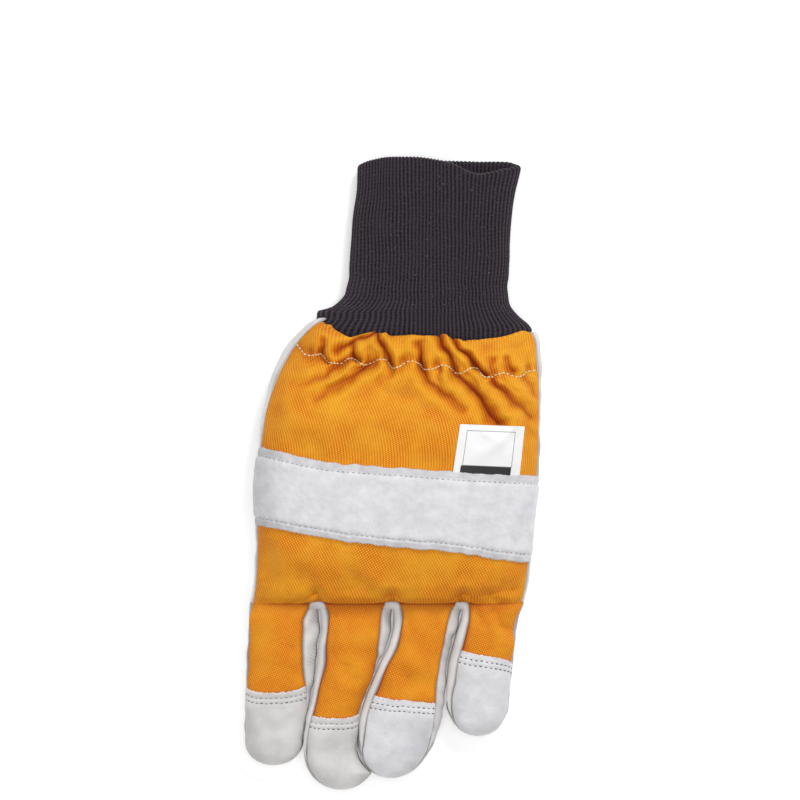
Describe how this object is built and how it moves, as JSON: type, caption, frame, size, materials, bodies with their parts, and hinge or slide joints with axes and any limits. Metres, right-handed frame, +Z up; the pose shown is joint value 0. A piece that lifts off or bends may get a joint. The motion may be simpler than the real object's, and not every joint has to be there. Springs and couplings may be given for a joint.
{
  "type": "chainsaw glove",
  "caption": "Left-hand chainsaw glove lying palm down: padded orange fabric back, pale leather palm, fingertips and knuckle band, gathered wrist, dark ribbed knit cuff.",
  "frame": {"origin": "middle of the footprint, on the surface that the glove lies on, palm down", "axes": "+Y from the fingertips to the cuff, +Z up through the back of the hand, +X towards the little finger"},
  "size_m": [0.1332, 0.2836, 0.0397],
  "materials": {
    "orange_fabric": "coarse woven orange textile",
    "grain_leather": "pale smooth grain leather",
    "split_leather": "off-white napped split leather",
    "dark_knit": "very dark ribbed knit",
    "white_label": "smooth white woven label"
  },
  "bodies": {
    "root": {"back_panel": "orange_fabric", "index_back": "orange_fabric", "middle_back": "orange_fabric", "ring_back": "orange_fabric", "little_back": "orange_fabric", "index_tip_cap": "grain_leather", "middle_tip_cap": "grain_leather", "ring_tip_cap": "split_leather", "little_tip_cap": "split_leather", "palm": "grain_leather", "index_front": "grain_leather", "middle_front": "grain_leather", "ring_front": "grain_leather", "little_front": "grain_leather", "side_strip_index_middle": "grain_leather", "side_strip_middle_ring": "grain_leather", "side_strip_ring_little": "grain_leather", "thumb": "grain_leather", "knuckle_band": "split_leather", "knit_cuff": "dark_knit", "label": "white_label"}
  },
  "joints": []
}
